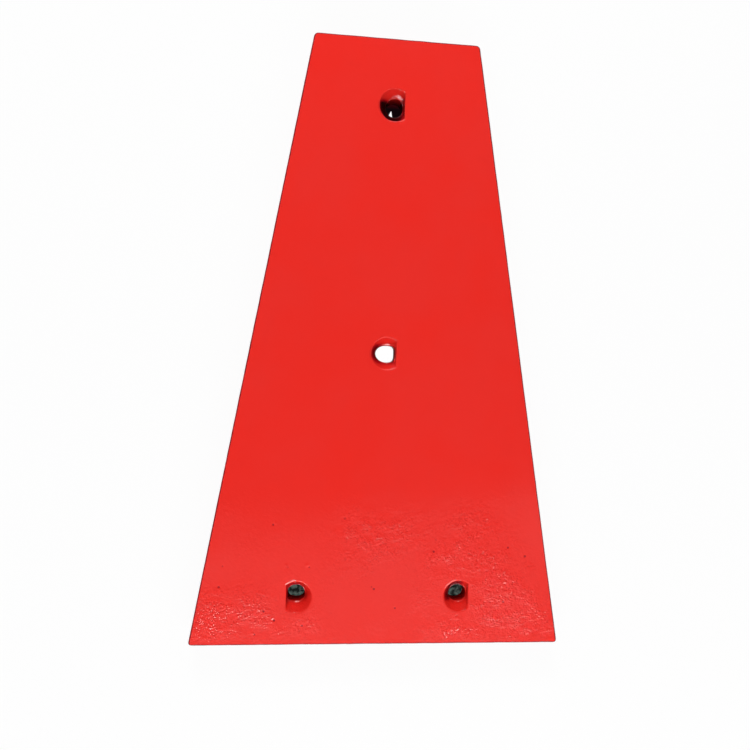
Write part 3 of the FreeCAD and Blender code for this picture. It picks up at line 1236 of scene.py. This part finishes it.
# The sliver's corners, in millimetres from the top hole's axis.
PALE_SLIVER = [(-7.4, -5.5), (-0.9, -5.9), (-2.4, 3.4), (-3.2, 3.4)]


def stage_sheet(name, ring, depth, material):
    """A flat sheet that belongs to the stage, from its corners in plan."""
    mesh = bpy.data.meshes.new(name)
    mesh.from_pydata([(x, y, -depth) for x, y in ring], [], [tuple(range(len(ring)))])
    mesh.materials.append(material)
    sheet = bpy.data.objects.new(name, mesh)
    bpy.context.scene.collection.objects.link(sheet)


def round_ring(centre, radius, corners):
    """The corners of a round sheet."""
    angles = [2 * math.pi * i / corners for i in range(corners)]
    return [(centre.x + radius * math.cos(a), centre.y + radius * math.sin(a)) for a in angles]


floor_ring = [(HALF_FLOOR * x, HALF_FLOOR * y) for x, y in ((-1, -1), (1, -1), (1, 1), (-1, 1))]
stage_sheet("floor", floor_ring, FLOOR_DEPTH, floor_white)
unlike_others = {"top_bolt_hole": under_top_hole, "middle_bolt_hole": white_card}
for name, axis in bores.items():
    ring = round_ring(axis, GROUND_RADIUS, GROUND_CORNERS)
    stage_sheet("ground_under_" + name, ring, GROUND_DEPTH, unlike_others.get(name, under_lower_holes))
top_axis = bores["top_bolt_hole"]
sliver = [(top_axis.x + x * MM, top_axis.y + y * MM) for x, y in PALE_SLIVER]
stage_sheet("pale_sliver", sliver, SLIVER_DEPTH, white_card)

# %% [markdown]
# The light is soft daylight from all round, with a dark ceiling over the camera. That is why most of
# the face looks deep red with no haze on it: it mirrors the dark overhead. An evenly bright sky would
# lay a grey veil over the whole face. The camera itself sees plain white behind the floor.

# %% The sky
SKY_HORIZON = 0.38
SKY_OVERHEAD = 0.10
SKY_DARKENS = (0.45, 0.85)


def studio_sky():
    """White to the camera. Everything else sees pale walls and a dark ceiling."""
    world = bpy.data.worlds.new("studio")
    bpy.context.scene.world = world
    world.use_nodes = True
    nodes, links = world.node_tree.nodes, world.node_tree.links
    nodes.clear()
    direction = nodes.new("ShaderNodeTexCoord").outputs["Generated"]
    split = nodes.new("ShaderNodeSeparateXYZ")
    links.new(direction, split.inputs[0])
    level = remap(nodes, links, split.outputs["Z"], SKY_DARKENS, (SKY_HORIZON, SKY_OVERHEAD))
    studio = add(nodes, "ShaderNodeBackground", Color=(1, 1, 1, 1))
    links.new(level, studio.inputs["Strength"])
    plain = add(nodes, "ShaderNodeBackground", Color=(1, 1, 1, 1), Strength=1.0)
    seen = nodes.new("ShaderNodeLightPath").outputs["Is Camera Ray"]
    mix = nodes.new("ShaderNodeMixShader")
    links.new(seen, mix.inputs["Fac"])
    links.new(studio.outputs["Background"], mix.inputs[1])
    links.new(plain.outputs["Background"], mix.inputs[2])
    output = nodes.new("ShaderNodeOutputWorld")
    links.new(mix.outputs["Shader"], output.inputs["Surface"])


studio_sky()
print("sky from %.2f at the horizon to %.2f overhead" % (SKY_HORIZON, SKY_OVERHEAD))

# %% [markdown]
# A glossy face is lit by what it mirrors. Dim panels hang level over the floor past the wide end, and their
# reflections cover the lower quarter of the plate and show its grain. Two long strips low behind them
# are mirrored by nothing flat: they light the red evenly from the wide end, and draw a thin
# line on rims and grains that face them. A small bright lamp far past the narrow end draws the glints
# on the ledges in the holes, and a soft panel beside it lights the walls that look its way.

# %% The lamps
PLATE_MIDDLE = (0.0, 0.0, 0.04)

# Places, sizes and aims are in metres. A lamp with no aim hangs level and faces straight down.
LAMPS = {
    "pale_panel": dict(place=(0.2, -0.90, 1.6), size=(2.0, 0.46), brightness=0.46, turn_deg=9.8),
    "left_panel": dict(place=(-0.45, -0.95, 1.6), size=(0.7, 0.34), brightness=0.22),
    "bright_panel": dict(place=(-0.1, -1.62, 1.6), size=(1.9, 0.6), brightness=1.25, turn_deg=9.8),
    "rim_strip": dict(place=(0.4, -2.2, 1.3), size=(4.6, 0.10), brightness=36.5, aim=(0.4, 0.0, 0.04)),
    "long_strip": dict(place=(0.1, -2.5, 1.15), size=(3.2, 0.2), brightness=4.0, aim=PLATE_MIDDLE),
    "far_panel": dict(place=(0.1, 2.5, 1.5), size=(1.6, 1.5), brightness=3.0, aim=PLATE_MIDDLE),
    "far_lamp": dict(place=(-0.5, 2.5, 1.5), size=(0.5, 0.5), brightness=56.0, aim=PLATE_MIDDLE),
}


def lamp(name, place, size, brightness, aim=None, turn_deg=0.0):
    """A rectangular lamp. Its brightness is how bright its face looks, where 1 is white."""
    aim = aim or (place[0], place[1], 0.0)
    data = bpy.data.lights.new(name, "AREA")
    data.shape = "RECTANGLE"
    data.size, data.size_y = size
    data.energy = brightness * math.pi * size[0] * size[1]
    made = bpy.data.objects.new(name, data)
    made.location = place
    facing = (Vector(aim) - Vector(place)).to_track_quat("-Z", "Y")
    turned = facing @ Quaternion((0, 0, 1), math.radians(turn_deg))
    made.rotation_euler = turned.to_euler()
    made.visible_camera = False
    bpy.context.scene.collection.objects.link(made)


for name, values in LAMPS.items():
    lamp(name, **values)
print("lamps:", list(LAMPS))

# %% [markdown]
# The standard view shows a colour as it is written.

# %% Finish
bpy.context.scene.view_settings.view_transform = "Standard"
